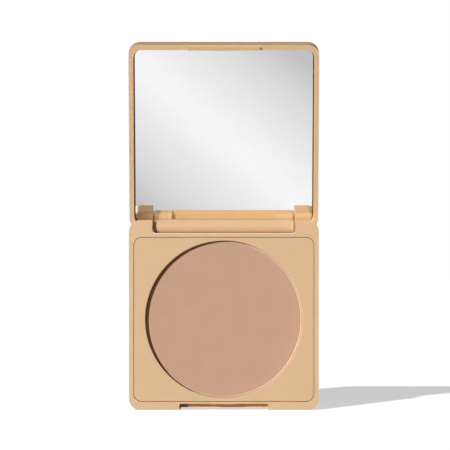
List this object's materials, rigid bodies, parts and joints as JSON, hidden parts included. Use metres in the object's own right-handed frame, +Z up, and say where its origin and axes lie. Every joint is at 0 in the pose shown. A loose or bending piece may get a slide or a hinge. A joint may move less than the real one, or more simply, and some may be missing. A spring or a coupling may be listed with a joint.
{
  "type": "powder compact",
  "caption": "Square hinged powder compact, open, with a round pan of pressed powder in its base and a mirror in its lid; turns on a pinned barrel hinge",
  "frame": {"origin": "On the surface the open compact stands on, under the middle of its bounding box", "axes": "+Z runs up from the base's front edge, which it stands on, to the lid's free edge; -Y is the side that the powder and the mirror face; +X is to the right seen from there, along the hinge axis"},
  "size_m": [0.0726, 0.0264, 0.1406],
  "materials": {
    "base_shell": "satin moulded plastic, peach gold",
    "tray_insert": "satin moulded plastic, peach gold",
    "powder_pan": "bare pressed pan",
    "pan_glue_dots": "hot-melt glue dots",
    "powder_cake": "pressed powder, matte rose tan",
    "base_label": "blank round sticker",
    "hinge_pins": "drawn steel wire",
    "lid_frame": "satin moulded plastic, peach gold",
    "lid_cover": "satin moulded plastic, peach gold",
    "mirror_tape": "double-sided foam tape",
    "mirror_glass": "silvered flat glass"
  },
  "bodies": {
    "base": {"base_shell": "base_shell", "tray_insert": "tray_insert", "powder_pan": "powder_pan", "pan_glue_dots": "pan_glue_dots", "powder_cake": "powder_cake", "base_label": "base_label", "hinge_pin_left": "hinge_pins", "hinge_pin_right": "hinge_pins"},
    "lid": {"lid_frame": "lid_frame", "lid_cover": "lid_cover", "mirror_tape": "mirror_tape", "mirror_glass": "mirror_glass"}
  },
  "joints": [
    {"name": "lid_hinge", "type": "hinge", "parent": "base", "child": "lid", "pos_m": [0, 0.00132, 0.0701], "axis": [1, 0, 0], "range_deg": [0, 165]}
  ]
}
